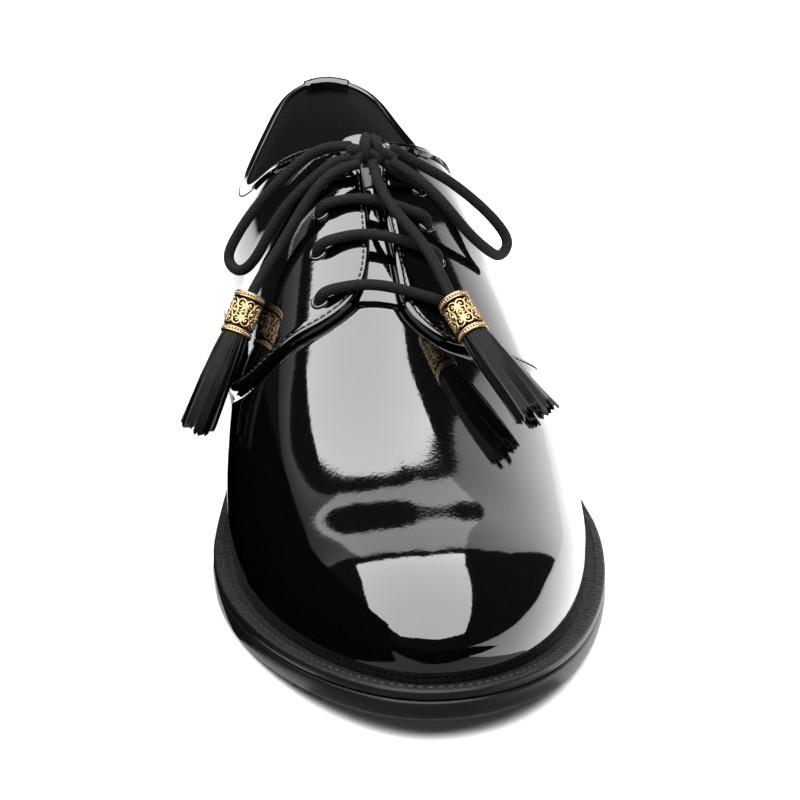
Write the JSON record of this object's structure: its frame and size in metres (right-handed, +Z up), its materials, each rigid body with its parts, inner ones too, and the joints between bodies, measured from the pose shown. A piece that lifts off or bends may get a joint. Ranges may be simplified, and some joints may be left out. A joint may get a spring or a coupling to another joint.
{
  "type": "tassel lace-up derby shoe",
  "caption": "Black patent leather lace-up derby shoe, round toe, stitched welt, low block heel, cord bow whose ends carry gold ferrules with leather fringe tassels.",
  "frame": {"origin": "on the floor, under the middle of the sole's bounding box", "axes": "+Z up, +Y from the toe to the heel, +X towards the outer (lateral) side of the left foot"},
  "size_m": [0.1138, 0.2982, 0.1101],
  "materials": {
    "patent_leather": "mirror gloss black patent",
    "lining_leather": "matt black lining",
    "welt_leather": "satin black, grained and stitched",
    "sole_rubber": "satin black",
    "lace_cord": "round woven black cord",
    "pale_gold": "pale gold openwork",
    "fringe_leather": "black leather strips with grey cut edges"
  },
  "bodies": {
    "root": {"outsole": "sole_rubber", "heel": "sole_rubber", "welt": "welt_leather", "insole": "lining_leather", "upper": "patent_leather", "tongue": "patent_leather", "lace_bar_1": "lace_cord", "lace_bar_2": "lace_cord", "lace_bar_3": "lace_cord", "lace_knot": "lace_cord", "lace_loop_medial": "lace_cord", "lace_loop_lateral": "lace_cord", "lace_end_medial": "lace_cord", "lace_end_lateral": "lace_cord", "ferrule_medial": "pale_gold", "ferrule_lateral": "pale_gold", "tassel_medial": "fringe_leather", "tassel_lateral": "fringe_leather"}
  },
  "joints": []
}
